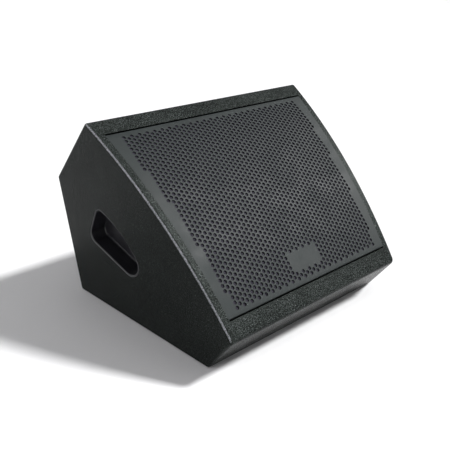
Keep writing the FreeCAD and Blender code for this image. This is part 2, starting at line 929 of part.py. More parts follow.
def surround():
    """Half-roll rubber ring between the cone's lip and the basket's landing."""
    middle = "(cone_lip_radius + landing_radius - 6) / 2"
    low = "landing_depth"
    high = "landing_depth + rubber"
    return turned("surround", [
        ("surround_inner", high),
        ("surround_inner", low),
        (f"{middle} - surround_roll", low),
        (f"{middle} + surround_roll", low, "surround_roll + 0.001", "right"),
        ("landing_radius", low),
        ("landing_radius", high),
        (f"{middle} + surround_roll + rubber", high),
        (f"{middle} - surround_roll - rubber", high,
         "((surround_roll + rubber) ^ 2 + surround_roll ^ 2) / (2 * surround_roll)", "left"),
    ], on_baffle)


def cone():
    """Paper cone with a flat lip under the surround and a neck on the voice coil former."""
    return turned("cone", [
        ("neck_radius - 0.2", "-neck_depth - 4"),
        ("neck_radius + paper", "-neck_depth - 4"),
        ("neck_radius + paper", "-neck_depth"),
        ("surround_inner + 1", "landing_depth - paper", "front_radius / 5", "right"),
        ("cone_lip_radius", "landing_depth - paper"),
        ("cone_lip_radius", "landing_depth"),
        ("surround_inner", "landing_depth"),
        ("neck_radius - 0.2", "-neck_depth", "front_radius / 5", "left"),
    ], on_baffle)


def former():
    return rings("former", "former_radius", "former_radius + former_wall", "-former_end", "-neck_depth + 2")


def voice_coil():
    return rings("voice_coil", "former_radius + former_wall", "former_radius + former_wall + winding",
                 "-former_end + 1", "-former_end + 1 + winding_height")


def spider():
    """Corrugated cloth disc that centres the voice coil."""
    waves = 5
    inner = "former_radius + former_wall"
    step = f"(spider_radius - 8 - ({inner}) - 4) / {2 * waves}"
    upper = [(f"{inner} + 4 + {n} * {step}", f"spider_cloth - spider_depth + {3 * (n % 2)}")
             for n in range(2 * waves + 1)]
    lower = [(across, f"{up} - spider_cloth") for across, up in reversed(upper)]
    edge = [("spider_radius", "spider_cloth - spider_depth"), ("spider_radius", "-spider_depth")]
    collar = [(inner, "-spider_depth"), (inner, "spider_cloth - spider_depth")]
    return turned("spider", upper + edge + lower + collar, on_baffle)


def top_plate():
    return rings("top_plate", "gap_radius", "plate_radius", "-motor_front - plate_thickness", "-motor_front")


MAGNET_BACK = "motor_front + plate_thickness + magnet_height"
MOTOR_BACK = "motor_front + 2 * plate_thickness + magnet_height"


def magnet():
    return rings("magnet", "magnet_inner", "magnet_radius", f"-({MAGNET_BACK})",
                 "-motor_front - plate_thickness")


def pole_piece():
    """Back plate and pole in one, bored through for the high-frequency horn."""
    return turned("pole_piece", [
        ("throat_radius", f"-({MOTOR_BACK})"),
        ("plate_radius", f"-({MOTOR_BACK})"),
        ("plate_radius", f"-({MAGNET_BACK})"),
        ("pole_radius", f"-({MAGNET_BACK})"),
        ("pole_radius", "-motor_front"),
        ("throat_radius", "-motor_front"),
    ], on_baffle)


def horn():
    """Flared horn mouth that stands on the pole, inside the voice coil."""
    front = "-motor_front + horn_length"
    return turned("horn", [
        ("throat_radius", "-motor_front", "reach / 6", "left"),
        ("pole_radius - 4", "-motor_front"),
        ("horn_mouth + 1", front),
        ("horn_mouth", front),
    ], on_baffle)


# ------------------------------------------------------------------- tweeter


def tweeter_plate():
    """Front plate of the compression driver."""
    front = f"-({MOTOR_BACK})"
    return rings("tweeter_plate", "throat_radius", "tweeter_radius", f"{front} - tweeter_plate", front)


def tweeter_magnet():
    front = f"-({MOTOR_BACK}) - tweeter_plate"
    return rings("tweeter_magnet", "dome_radius + 6", "tweeter_radius - 2",
                 f"{front} - tweeter_magnet", front)


def phase_plug():
    front = f"-({MOTOR_BACK}) - tweeter_plate"
    return turned("phase_plug", [
        ("throat_radius - 8", front),
        ("dome_radius", front),
        ("dome_radius", f"{front} - tweeter_magnet + 8"),
        ("throat_radius - 8", f"{front} - tweeter_magnet + 3", "reach / 6", "left"),
    ], on_baffle)


def tweeter_dome():
    """Titanium dome with its rim, between the phase plug and the rear cover."""
    front = f"-({MOTOR_BACK}) - tweeter_plate - tweeter_magnet"
    curve = "((dome_radius - 4) ^ 2 + dome_rise ^ 2) / (2 * dome_rise)"
    return turned("tweeter_dome", [
        ("0", f"{front} - 2", curve, "right"),
        ("0", f"{front} - 2 - dome_foil"),
        ("dome_radius - 4", f"{front} - 2 - dome_foil + dome_rise", curve, "left"),
        ("dome_radius + 4", f"{front} - 2 - dome_foil + dome_rise"),
        ("dome_radius + 4", f"{front} - 2 + dome_rise"),
        ("dome_radius - 4", f"{front} - 2 + dome_rise"),
    ], on_baffle)


def tweeter_cover():
    front = f"-({MOTOR_BACK}) - tweeter_plate - tweeter_magnet"
    return turned("tweeter_cover", [
        ("0", f"{front} - tweeter_cover"),
        ("tweeter_radius", f"{front} - tweeter_cover"),
        ("tweeter_radius", front),
        ("dome_radius + 7", front),
        ("dome_radius + 7", f"{front} - tweeter_cover + 3"),
        ("0", f"{front} - tweeter_cover + 3"),
    ], on_baffle)


def driver_screws():
    heads = bars("bolt_heads", bolt_places(), "bolt_head", "basket_front", "basket_front + 3", on_baffle)
    shanks = bars("bolt_shanks", bolt_places(), "bolt_radius", "-baffle_thickness - 3",
                  "basket_front + 1", on_baffle)
    return paired("driver_screws", heads, shanks)


def driver_nuts():
    """Tee nuts behind the baffle, one on each of the driver's bolts."""
    plates = bars("nut_plates", bolt_places(), "bolt_head * 1.6", "-baffle_thickness - 2.4",
                  "-baffle_thickness", on_baffle)
    drilled = cut("nut_rings", plates, bolt_drill("nut_holes"))
    return gathered("driver_nuts", drilled.Shape.Solids)


def port(label, side):
    body = new_body(label)
    sketch = new_sketch(body, "XY_Plane")
    circle(sketch, f"{side}port_side", "port_up", "port_radius")
    circle(sketch, f"{side}port_side", "port_up", "port_radius + port_wall - 0.2")
    pad(body, sketch, "port_length", backwards=True)
    flange = body.newObject("Sketcher::SketchObject", label + "_flange")
    flange.AttachmentSupport = [(origin_plane(body, "XY_Plane"), "")]
    flange.MapMode = "FlatFace"
    circle(flange, f"{side}port_side", "port_up", "port_radius")
    circle(flange, f"{side}port_side", "port_up", "port_radius + port_wall * 3")
    pad(body, flange, "port_wall")
    on_baffle(body)
    return body


# ---------------------------------------------------------------- connectors


def input_plate():
    """Steel plate on the rear panel's outer face, with two round holes for the sockets."""
    body = new_body("input_plate")
    sketch = new_sketch(body, "XY_Plane")
    rectangle(sketch, "-input_width / 2", "input_up - input_height / 2",
              "input_width / 2", "input_up + input_height / 2")
    feature = pad(body, sketch, "input_sheet", backwards=True)
    round_edges(body, feature, "corner_round",
                lambda edge: edge.Curve.TypeId == "Part::GeomLine"
                and abs(edge.tangentAt(edge.FirstParameter).z) > 0.99)
    drills = body.newObject("Sketcher::SketchObject", "input_plate_holes")
    drills.AttachmentSupport = [(origin_plane(body, "XY_Plane"), "")]
    drills.MapMode = "FlatFace"
    for side in ("-", ""):
        circle(drills, f"{side}socket_spacing / 2", "input_up", "socket_barrel + 0.2")
    for across, up in plate_corners():
        circle(drills, across, up, "screw_clearance")
    pocket(body, drills, "input_sheet * 2")
    on_rear(body)
    return body


def socket(label, side):
    """Round locking loudspeaker socket: square flange on the plate, barrel and blind bore."""
    centre = f"{side}socket_spacing / 2"
    body = new_body(label)
    flange = new_sketch(body, "XY_Plane", "-input_sheet")
    rectangle(flange, f"{centre} - socket_width / 2", "input_up - socket_height / 2",
              f"{centre} + socket_width / 2", "input_up + socket_height / 2")
    pad(body, flange, "socket_flange", backwards=True)
    barrel = new_sketch(body, "XY_Plane", "-input_sheet")
    circle(barrel, centre, "input_up", "socket_barrel")
    pad(body, barrel, "socket_length")
    bore = new_sketch(body, "XY_Plane", "-input_sheet - socket_flange")
    circle(bore, centre, "input_up", "socket_bore")
    pocket(body, bore, "socket_bore_depth", backwards=True)
    on_rear(body)
    return body


def input_screws():
    heads = bars("input_heads", plate_corners(), "screw_head", "-input_sheet - 2", "-input_sheet", on_rear)
    shanks = bars("input_shanks", plate_corners(), "screw_radius", "-input_sheet - 1", "ply * 0.8", on_rear)
    return paired("input_screws", heads, shanks)


# ----------------------------------------------------------------- crossover


def block(label, length, width, height, left, back, low):
    """A plain box by its size and its corner nearest the front left."""
    box = document.addObject("Part::Box", label)
    box.Label = label
    bind(box, Length=length, Width=width, Height=height)
    box.Placement.Base = Vector(number(left), number(back), number(low))
    box.setExpression("Placement.Base.x", bound(left))
    box.setExpression("Placement.Base.y", bound(back))
    box.setExpression("Placement.Base.z", bound(low))
    document.recompute()
    return box


BOARD_TOP = "ply + board_stand + board_thickness"


def board_corners():
    side = "(board_width / 2 - 6)"
    run = "(board_depth / 2 - 6)"
    return [(f"{x}{side}", f"board_back {y} {run}") for x in ("-", "") for y in ("-", "+")]


def crossover_board():
    plate = block("board_blank", "board_width", "board_depth", "board_thickness",
                  "-board_width / 2", "board_back - board_depth / 2", "ply + board_stand")
    return cut("crossover_board", plate,
               bars("board_holes", board_corners(), "screw_clearance", "ply", "ply * 3"))


def board_stands():
    posts = bars("stand_posts", board_corners(), "screw_head", "ply", "ply + board_stand")
    pins = bars("stand_pins", board_corners(), "screw_radius", "ply", f"{BOARD_TOP} + 1")
    return paired("board_stands", posts, pins)


def coil_at(label, across):
    """Air-cored inductor: a short upright ring of wire."""
    body = new_body(label)
    sketch = new_sketch(body, "XY_Plane", BOARD_TOP)
    circle(sketch, across, "board_back", "coil_radius")
    circle(sketch, across, "board_back", "coil_bore")
    pad(body, sketch, "coil_height")
    return body


def capacitors():
    """Three film capacitors, upright side by side."""
    centres = [(f"{n} * capacitor_radius * 2.4", "board_back + 12") for n in (-1, 0, 1)]
    return bars("capacitors", centres, "capacitor_radius", BOARD_TOP, f"{BOARD_TOP} + capacitor_height")


def resistor():
    return block("resistor", "capacitor_radius * 5", "capacitor_radius", "capacitor_radius",
                 "-capacitor_radius * 2.5", "board_back - board_depth / 2 + 8", BOARD_TOP)


def wadding():
    """Quilt of damping wadding on the upper rear panel's inner face."""
    rough = across_cabinet("wadding_rough", [
        inset(KNEE, CROWN, TOE, "ply"),
        inset(KNEE, CROWN, TOE, "ply + wadding"),
        inset(HEEL, KNEE, CROWN, "ply + wadding"),
        inset(HEEL, KNEE, CROWN, "ply"),
    ][::-1])
    trimmed = common("wadding_trimmed", rough,
                     plan_middle("wadding_plan", "half_width - ply * 3"))
    window = across_cabinet("wadding_zone", [
        ("crown_back + 18", "knee_height + 20"), ("knee_back", "knee_height + 20"),
        ("knee_back", "crown_height - 48"), ("crown_back + 18", "crown_height - 48")])
    return common("wadding", trimmed, window)


def build():
    """Make every sub-part, in the order that the cabinet is put together."""
    left = [side_panel_left(), batten_left(), grille_pins_left(), hand_cup_left(), cup_screws_left(),
            port("port_left", "-")]
    right = [mirrored(item.Label.replace("left", "right"), item) for item in left]
    return left + right + [
        bottom_panel(), toe_panel(), upper_rear_panel(), rear_panel(), top_rail(), bottom_rail(), baffle(),
        cleat("heel_cleat", "base_depth / 2 - ply - cleat", "ply", "base_depth / 2 + ply", "ply + cleat"),
        cleat("front_cleat", "-base_depth / 2 - cleat", "ply", "-base_depth / 2 + cleat * 0.6", "ply + cleat"),
        cleat("knee_cleat", "knee_back - ply - cleat * 1.4", "knee_height - cleat", "knee_back",
              "knee_height + cleat * 0.4"),
        grille(), grille_foam(),
        gasket(), basket(), driver_screws(), driver_nuts(),
        surround(), spider(), cone(), former(), voice_coil(),
        top_plate(), magnet(), pole_piece(), horn(),
        tweeter_plate(), tweeter_magnet(), phase_plug(), tweeter_dome(), tweeter_cover(),
        input_plate(), socket("socket_in", "-"), socket("socket_link", ""), input_screws(),
        crossover_board(), board_stands(), coil_at("inductor_left", "-board_width / 2 + coil_radius + 12"),
        coil_at("inductor_right", "board_width / 2 - coil_radius - 12"), capacitors(), resistor(), wadding(),
    ]


def check(nodes):
    """Stop if anything in the document has failed, or if a node isn't a sound closed solid."""
    failed = [item.Label for item in document.Objects if {"Invalid", "Error"} & set(item.State)]
    for item in nodes:
        shape = item.Shape
        if shape.isNull() or not shape.isValid() or not shape.Solids:
            failed.append(item.Label)
    if failed:
        raise RuntimeError("failed: " + ", ".join(failed))


def export(nodes):
    os.makedirs("parts", exist_ok=True)
    for item in nodes:
        item.Shape.exportStep(f"parts/{item.Label}.step")
        box = item.Shape.BoundBox
        print(f"{item.Label:20} {len(item.Shape.Solids):3} solids  {item.Shape.Volume / 1000:10.1f} cm3"
              f"  z {box.ZMin:8.2f} {box.ZMax:8.2f}")


document.recompute()
nodes = build()
document.recompute()
check(nodes)
export(nodes)
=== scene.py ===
# Looks of the stage monitor wedge: materials, the pierced grille, soft pieces and fixings.
#
# Metres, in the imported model's own frame: X across, Y to the rear, Z up.
# Every piece is placed from the frame's own boxes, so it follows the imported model.
import json
import math

import bmesh
import bpy
import numpy as np
from mathutils import Matrix, Quaternion, Vector
from mathutils.geometry import delaunay_2d_cdt
from mathutils.noise import noise


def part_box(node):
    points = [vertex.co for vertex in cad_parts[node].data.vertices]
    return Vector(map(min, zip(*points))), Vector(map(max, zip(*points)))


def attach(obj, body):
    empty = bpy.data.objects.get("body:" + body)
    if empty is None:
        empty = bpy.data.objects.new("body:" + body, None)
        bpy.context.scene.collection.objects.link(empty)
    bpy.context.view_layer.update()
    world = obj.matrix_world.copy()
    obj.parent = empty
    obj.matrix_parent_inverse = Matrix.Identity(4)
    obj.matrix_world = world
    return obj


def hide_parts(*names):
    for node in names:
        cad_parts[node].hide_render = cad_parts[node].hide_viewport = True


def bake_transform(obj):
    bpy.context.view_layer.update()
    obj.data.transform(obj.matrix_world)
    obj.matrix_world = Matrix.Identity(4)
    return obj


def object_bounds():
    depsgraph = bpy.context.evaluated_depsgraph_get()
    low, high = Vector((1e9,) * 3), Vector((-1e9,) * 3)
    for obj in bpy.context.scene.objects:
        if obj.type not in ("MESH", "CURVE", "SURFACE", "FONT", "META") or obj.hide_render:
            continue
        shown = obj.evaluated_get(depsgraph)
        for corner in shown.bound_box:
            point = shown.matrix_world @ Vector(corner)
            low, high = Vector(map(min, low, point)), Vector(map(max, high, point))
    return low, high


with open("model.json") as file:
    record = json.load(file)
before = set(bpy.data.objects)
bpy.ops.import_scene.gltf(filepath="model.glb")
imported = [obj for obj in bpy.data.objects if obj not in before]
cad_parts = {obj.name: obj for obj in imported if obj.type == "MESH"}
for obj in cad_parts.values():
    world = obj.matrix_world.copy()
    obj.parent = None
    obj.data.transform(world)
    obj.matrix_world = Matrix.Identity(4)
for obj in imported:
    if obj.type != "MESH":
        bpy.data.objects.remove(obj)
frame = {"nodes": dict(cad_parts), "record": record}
cad_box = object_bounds()

MM = 0.001
OUT = Vector(frame["record"]["behaviour"]["joints"][0]["axis"])
UP_SLOPE = Vector((0, OUT.z, -OUT.y))

# Perforation of the grille
PITCH = 9 * MM
HOLE_RADIUS = 3.4 * MM
HOLE_SIDES = 18
FIRST_HOLE = -10.9 * MM
HOLE_RUN = (-175 * MM, 171 * MM)
SIDE_BORDER = 19.3 * MM
BLANK_HALF_WIDTH = 35 * MM
BLANK_RUN = (-161 * MM, -126 * MM)
FOLD_RADIUS = 2 * MM
FOLD_STEPS = 5
SHEET = 1.5 * MM
FOAM_GAP = 0.2 * MM
LATTICE_ROWS = range(-30, 30)
CELL_REACH = 0.7
MERGE = 0.01 * MM
RIM_STEPS = 26


# ------------------------------------------------------------------- materials


class Shader:
    """A material under construction, with its Principled shader and object coordinates."""

    def __init__(self, name, color, roughness, metallic=0.0, specular=0.5, coat=0.0):
        self.material = bpy.data.materials.new(name)
        self.material.use_nodes = True
        self.tree = self.material.node_tree
        self.surface = self.tree.nodes["Principled BSDF"]
        self.surface.inputs["Base Color"].default_value = (*color, 1)
        self.surface.inputs["Roughness"].default_value = roughness
        self.surface.inputs["Metallic"].default_value = metallic
        self.surface.inputs["Specular IOR Level"].default_value = specular
        self.surface.inputs["Coat Weight"].default_value = coat
        coordinates = self.node("ShaderNodeTexCoord")
        self.place = coordinates.outputs["Object"]
        self.normal = coordinates.outputs["Normal"]

    def node(self, kind, inputs=None, **settings):
        item = self.tree.nodes.new(kind)
        for name, value in settings.items():
            setattr(item, name, value)
        for name, value in (inputs or {}).items():
            if isinstance(value, bpy.types.NodeSocket):
                self.tree.links.new(value, item.inputs[name])
            else:
                item.inputs[name].default_value = value
        return item

    def stretched(self, x, y, z):
        """Object coordinates scaled by a factor along each axis."""
        return self.node("ShaderNodeMapping", {"Vector": self.place, "Scale": (x, y, z)}).outputs[0]

    def noise(self, size, detail=3.0, rough=0.55, place=None):
        """Soft noise whose blotches are about `size` metres across."""
        return self.node("ShaderNodeTexNoise", {
            "Vector": place or self.place, "Scale": 1 / size,
            "Detail": detail, "Roughness": rough}).outputs["Fac"]

    def cells(self, size, feature="SMOOTH_F1", place=None):
        """Rounded cells about `size` metres across, 0 at their middles."""
        return self.node("ShaderNodeTexVoronoi", {
            "Vector": place or self.place, "Scale": 1 / size},
            feature=feature).outputs["Distance"]

    def facing(self, direction):
        """How far the surface faces a direction, from -1 to 1."""
        return self.node("ShaderNodeVectorMath", {0: self.normal, 1: direction},
                         operation="DOT_PRODUCT").outputs["Value"]

    def ranged(self, value, low, high, new_low=0.0, new_high=1.0):
        return self.node("ShaderNodeMapRange", {
            "Value": value, "From Min": low, "From Max": high,
            "To Min": new_low, "To Max": new_high}).outputs["Result"]

    def math(self, operation, first, second):
        item = self.node("ShaderNodeMath", operation=operation)
        for socket, value in zip(item.inputs, (first, second)):
            if isinstance(value, bpy.types.NodeSocket):
                self.tree.links.new(value, socket)
            else:
                socket.default_value = value
        return item.outputs[0]

    def color(self, value, stops):
        """Base colour from a value, through (position, colour) stops."""
        ramp = self.node("ShaderNodeValToRGB", {"Fac": value})
        points = ramp.color_ramp.elements
        while len(points) < len(stops):
            points.new(0.5)
        for point, (position, color) in zip(points, stops):
            point.position = position
            point.color = (*color, 1)
        self.tree.links.new(ramp.outputs["Color"], self.surface.inputs["Base Color"])

    def roughness(self, value, low, high):
        self.tree.links.new(self.ranged(value, 0.3, 0.7, low, high),
                            self.surface.inputs["Roughness"])

    def bump(self, height, rise, strength=1.0, over=None):
        """Bump whose full height is `rise` metres, on top of an earlier bump."""
        settings = {"Height": height, "Distance": rise, "Strength": strength}
        if over:
            settings["Normal"] = over
        normal = self.node("ShaderNodeBump", settings).outputs["Normal"]
        links = self.surface.inputs["Normal"].links
        for link in list(links):
            self.tree.links.remove(link)
        self.tree.links.new(normal, self.surface.inputs["Normal"])
        return normal


def textured_coating():
    """Sprayed polyurea, grainy and wavy; painted shade on faces turned from the front, painted
    highlight on its side edges.
    """
    shader = Shader("textured_coating", (0.022, 0.025, 0.023), 0.4, specular=0.045)
    shader.surface.inputs["Specular Tint"].default_value = (0.9, 1, 0.94, 1)
    grains = shader.cells(2.4 * MM)
    fine = shader.noise(1.6 * MM, 4, 0.65)
    blotch = shader.noise(60 * MM, 4, 0.6)
    front = shader.facing(OUT)
    edge = shader.math("MULTIPLY", front, shader.math("ABSOLUTE", shader.facing((1, 0, 0)), 0))
    # Painted shade darkens the faces turned away from the front; a painted highlight lightens the
    # rounded edges between the front and the sides.
    painted_shade_and_highlight = shader.math("ADD", shader.ranged(front, 0.2, 0.9, -0.075, 0),
                          shader.ranged(edge, 0.3, 0.5, 0, 0.28))
    tone = shader.math("ADD", shader.math("MULTIPLY", fine, 0.92),
                       shader.math("MULTIPLY", blotch, 0.08))
    # The pale lavender top stop serves mostly the painted highlight on the front edges.
    shader.color(shader.math("ADD", tone, painted_shade_and_highlight),
                 [(0.4, (0.005, 0.0058, 0.0055)), (0.52, (0.018, 0.021, 0.0195)),
                  (0.62, (0.08, 0.092, 0.087)), (0.86, (0.4, 0.39, 0.44))])
    shader.roughness(shader.noise(2.5 * MM, 3, 0.7), 0.14, 0.3)
    coarse = shader.bump(shader.math("SUBTRACT", 1.0, grains), 0.6 * MM, 0.8)
    shader.bump(fine, 0.5 * MM, 0.9, coarse)
    return shader.material


def painted_plywood():
    """Thin matt black paint with the birch grain telegraphing through."""
    shader = Shader("painted_plywood", (0.008, 0.008, 0.008), 0.7, specular=0.2)
    grain = shader.noise(3 * MM, 6, 0.6, shader.stretched(0.06, 1, 1))
    shader.color(grain, [(0.3, (0.005, 0.005, 0.005)), (0.7, (0.014, 0.014, 0.0135))])
    shader.roughness(grain, 0.62, 0.8)
    shader.bump(grain, 0.1 * MM, 0.6)
    return shader.material


def birch_plywood():
    """Birch veneer with its grain along X."""
    shader = Shader("birch_plywood", (0.55, 0.42, 0.27), 0.6)
    grain = shader.noise(3 * MM, 6, 0.6, shader.stretched(0.06, 1, 1))
    shader.color(grain, [(0.3, (0.36, 0.25, 0.14)), (0.55, (0.56, 0.43, 0.27)),
                         (0.75, (0.68, 0.55, 0.37))])
    shader.roughness(grain, 0.5, 0.72)
    shader.bump(grain, 0.12 * MM, 0.6)
    return shader.material


def powder_coat(name, color, lighter):
    """Fine matt powder coating with a faint orange peel."""
    shader = Shader(name, color, 0.5, specular=0.22)
    peel = shader.noise(0.8 * MM, 3, 0.6)
    patch = shader.noise(45 * MM, 3, 0.6)
    shader.color(shader.math("ADD", shader.math("MULTIPLY", peel, 0.5),
                             shader.math("MULTIPLY", patch, 0.5)),
                 [(0.35, color), (0.68, lighter)])
    shader.roughness(patch, 0.5, 0.64)
    shader.bump(peel, 0.09 * MM, 0.7)
    return shader.material


def grille_coating():
    return powder_coat("grille_coating", (0.018, 0.0225, 0.0225), (0.029, 0.0355, 0.035))


def plate_coating():
    return powder_coat("plate_coating", (0.02, 0.02, 0.021), (0.034, 0.034, 0.036))


def black_screws():
    return powder_coat("black_screws", (0.015, 0.015, 0.016), (0.04, 0.04, 0.042))


def cellular(name, color, pore_color, size):
    """Open-cell foam: dark pores between lighter struts."""
    shader = Shader(name, color, 0.95, specular=0.1)
    pores = shader.cells(size, "F1")
    shader.color(pores, [(0.2, pore_color), (0.6, color)])
    shader.roughness(shader.noise(8 * MM), 0.86, 0.98)
    shader.bump(pores, 0.5 * MM, 0.9)
    return shader.material


def foam():
    return cellular("foam", (0.046, 0.043, 0.056), (0.012, 0.011, 0.016), 1.3 * MM)


def moulded(name, color, lighter, gloss):
    """Injection-moulded plastic with a fine spark-eroded grain and faint flow marks."""
    shader = Shader(name, color, gloss, specular=0.5)
    flow = shader.noise(35 * MM, 3, 0.6)
    grain = shader.noise(0.5 * MM, 2, 0.5)
    shader.color(flow, [(0.35, color), (0.7, lighter)])
    shader.roughness(flow, gloss - 0.05, gloss + 0.08)
    shader.bump(grain, 0.03 * MM, 0.5)
    return shader.material


def moulded_plastic():
    return moulded("moulded_plastic", (0.009, 0.009, 0.011), (0.014, 0.014, 0.017), 0.34)


def horn_plastic():
    return moulded("horn_plastic", (0.016, 0.016, 0.017), (0.026, 0.026, 0.028), 0.4)


def nylon():
    return moulded("nylon", (0.03, 0.03, 0.03), (0.05, 0.05, 0.05), 0.5)


def former_film():
    return moulded("former_film", (0.36, 0.2, 0.05), (0.5, 0.32, 0.1), 0.25)


def metal(name, dark, light, low, high, size=2 * MM, rise=0.03 * MM):
    """Bare or plated metal with fine variation in tone and gloss."""
    shader = Shader(name, dark, low, metallic=1.0)
    tone = shader.noise(size, 5, 0.65)
    shader.color(tone, [(0.3, dark), (0.7, light)])
    shader.roughness(tone, low, high)
    shader.bump(tone, rise, 0.6)
    return shader.material


def zinc_steel():
    return metal("zinc_steel", (0.42, 0.42, 0.4), (0.62, 0.62, 0.6), 0.24, 0.4)


def dome_titanium():
    return metal("dome_titanium", (0.5, 0.5, 0.52), (0.66, 0.66, 0.69), 0.2, 0.34)


def cast_frame():
    return powder_coat("cast_frame", (0.03, 0.03, 0.032), (0.06, 0.06, 0.063))


def rubber():
    """Matt rubber with a slight bloom."""
    shader = Shader("rubber", (0.025, 0.025, 0.025), 0.7, specular=0.35)
    bloom = shader.noise(18 * MM, 4, 0.6)
    shader.color(bloom, [(0.35, (0.018, 0.018, 0.018)), (0.7, (0.036, 0.036, 0.037))])
    shader.roughness(bloom, 0.62, 0.8)
    shader.bump(shader.noise(0.7 * MM), 0.05 * MM, 0.6)
    return shader.material


def woven(name, color, darker, pitch):
    """Plain weave: two sets of fine threads at right angles."""
    shader = Shader(name, color, 0.85, specular=0.2)
    threads = [shader.node("ShaderNodeTexWave", {
        "Vector": shader.place, "Scale": 1 / pitch / 2, "Distortion": 0.3},
        bands_direction=axis).outputs["Fac"] for axis in ("X", "Y")]
    cloth = shader.math("MULTIPLY", *threads)
    shader.color(cloth, [(0.05, darker), (0.6, color)])
    shader.roughness(shader.noise(6 * MM), 0.78, 0.92)
    shader.bump(cloth, 0.25 * MM, 0.8)
    return shader.material


def spider_cloth():
    return woven("spider_cloth", (0.6, 0.42, 0.17), (0.3, 0.18, 0.06), 1.1 * MM)


def cone_paper():
    """Pressed paper with a felted surface."""
    shader = Shader("cone_paper", (0.04, 0.038, 0.037), 0.85, specular=0.2)
    fibre = shader.noise(2.2 * MM, 7, 0.75)
    shader.color(fibre, [(0.35, (0.022, 0.021, 0.02)), (0.65, (0.06, 0.057, 0.054))])
    shader.roughness(fibre, 0.78, 0.92)
    shader.bump(fibre, 0.35 * MM, 0.8)
    return shader.material


def copper():
    """Enamelled wire in tight turns."""
    shader = Shader("copper", (0.6, 0.27, 0.12), 0.3, metallic=1.0, coat=0.4)
    turns = shader.node("ShaderNodeTexWave", {
        "Vector": shader.place, "Scale": 1 / (1.2 * MM) / 2}, bands_direction="Z").outputs["Fac"]
    shader.color(turns, [(0.1, (0.3, 0.11, 0.05)), (0.6, (0.68, 0.32, 0.15))])
    shader.roughness(shader.noise(4 * MM), 0.25, 0.4)
    shader.bump(turns, 0.4 * MM, 0.9)
    return shader.material


def ferrite():
    """Sintered ferrite: dark, matt and slightly pitted."""
    shader = Shader("ferrite", (0.07, 0.07, 0.075), 0.65)
    pits = shader.noise(1.5 * MM, 6, 0.7)
    shader.color(pits, [(0.35, (0.04, 0.04, 0.043)), (0.65, (0.1, 0.1, 0.105))])
    shader.roughness(pits, 0.52, 0.74)
    shader.bump(pits, 0.2 * MM, 0.7)
    return shader.material


def circuit_board():
    """Green glass-fibre board with the weave showing through."""
    shader = Shader("circuit_board", (0.03, 0.16, 0.07), 0.35, coat=0.3)
    weave = shader.math("MULTIPLY",
                        shader.noise(0.8 * MM, 2, 0.5, shader.stretched(0.2, 1, 1)),
                        shader.noise(0.8 * MM, 2, 0.5, shader.stretched(1, 0.2, 1)))
    shader.color(weave, [(0.15, (0.015, 0.09, 0.04)), (0.4, (0.05, 0.22, 0.1))])
    shader.roughness(shader.noise(10 * MM), 0.3, 0.42)
    shader.bump(weave, 0.08 * MM, 0.5)
    return shader.material


def capacitor_film():
    return moulded("capacitor_film", (0.55, 0.42, 0.08), (0.68, 0.54, 0.14), 0.22)


def resistor_ceramic():
    return moulded("resistor_ceramic", (0.62, 0.61, 0.57), (0.78, 0.77, 0.73), 0.55)


def wadding_fibre():
    """Matted polyester fibre."""
    shader = Shader("wadding_fibre", (0.7, 0.7, 0.69), 0.95, specular=0.15)
    fibre = shader.noise(5 * MM, 8, 0.8, shader.stretched(0.5, 1, 1.6))
    shader.color(fibre, [(0.3, (0.42, 0.42, 0.41)), (0.6, (0.8, 0.8, 0.79))])
    shader.roughness(fibre, 0.86, 0.98)
    shader.bump(fibre, 2.5 * MM, 0.9)
    return shader.material


SLOT_MATERIALS = {make.__name__: make() for make in (
    textured_coating, painted_plywood, birch_plywood, grille_coating, foam, moulded_plastic,
    black_screws, zinc_steel, nylon, cast_frame, rubber, spider_cloth, cone_paper, former_film,
    copper, ferrite, horn_plastic, dome_titanium, plate_coating, circuit_board, capacitor_film,
    resistor_ceramic, wadding_fibre)}


def dress_frame():
    """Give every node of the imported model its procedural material."""
    for part in frame["record"]["subparts"]:
        for holder in frame["nodes"][part["node"]].material_slots:
            holder.material = SLOT_MATERIALS[part["material_slot"]]


# ---------------------------------------------------------------------- pieces


def piece(name, corners, faces, slot, sharp=35, body="cabinet"):
    """A mesh piece that takes its finish from a slot, and rides on a body unless it bends."""
    mesh = bpy.data.meshes.new(name)
    mesh.from_pydata([tuple(corner) for corner in corners], [], faces)
    mesh.polygons.foreach_set("use_smooth", [True] * len(mesh.polygons))
    mesh.set_sharp_from_angle(angle=math.radians(sharp))
    mesh.materials.append(SLOT_MATERIALS[slot])
    mesh.update()
    item = bpy.data.objects.new(name, mesh)
    bpy.context.collection.objects.link(item)
    if body:
        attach(item, body)
    return item


def vertices(node):
    """A node's mesh points as an array of x, distance up the slope and distance out of it."""
    points = np.array([corner.co for corner in frame["nodes"][node].data.vertices])
    return np.column_stack([points[:, 0], points @ np.array(UP_SLOPE), points @ np.array(OUT)])


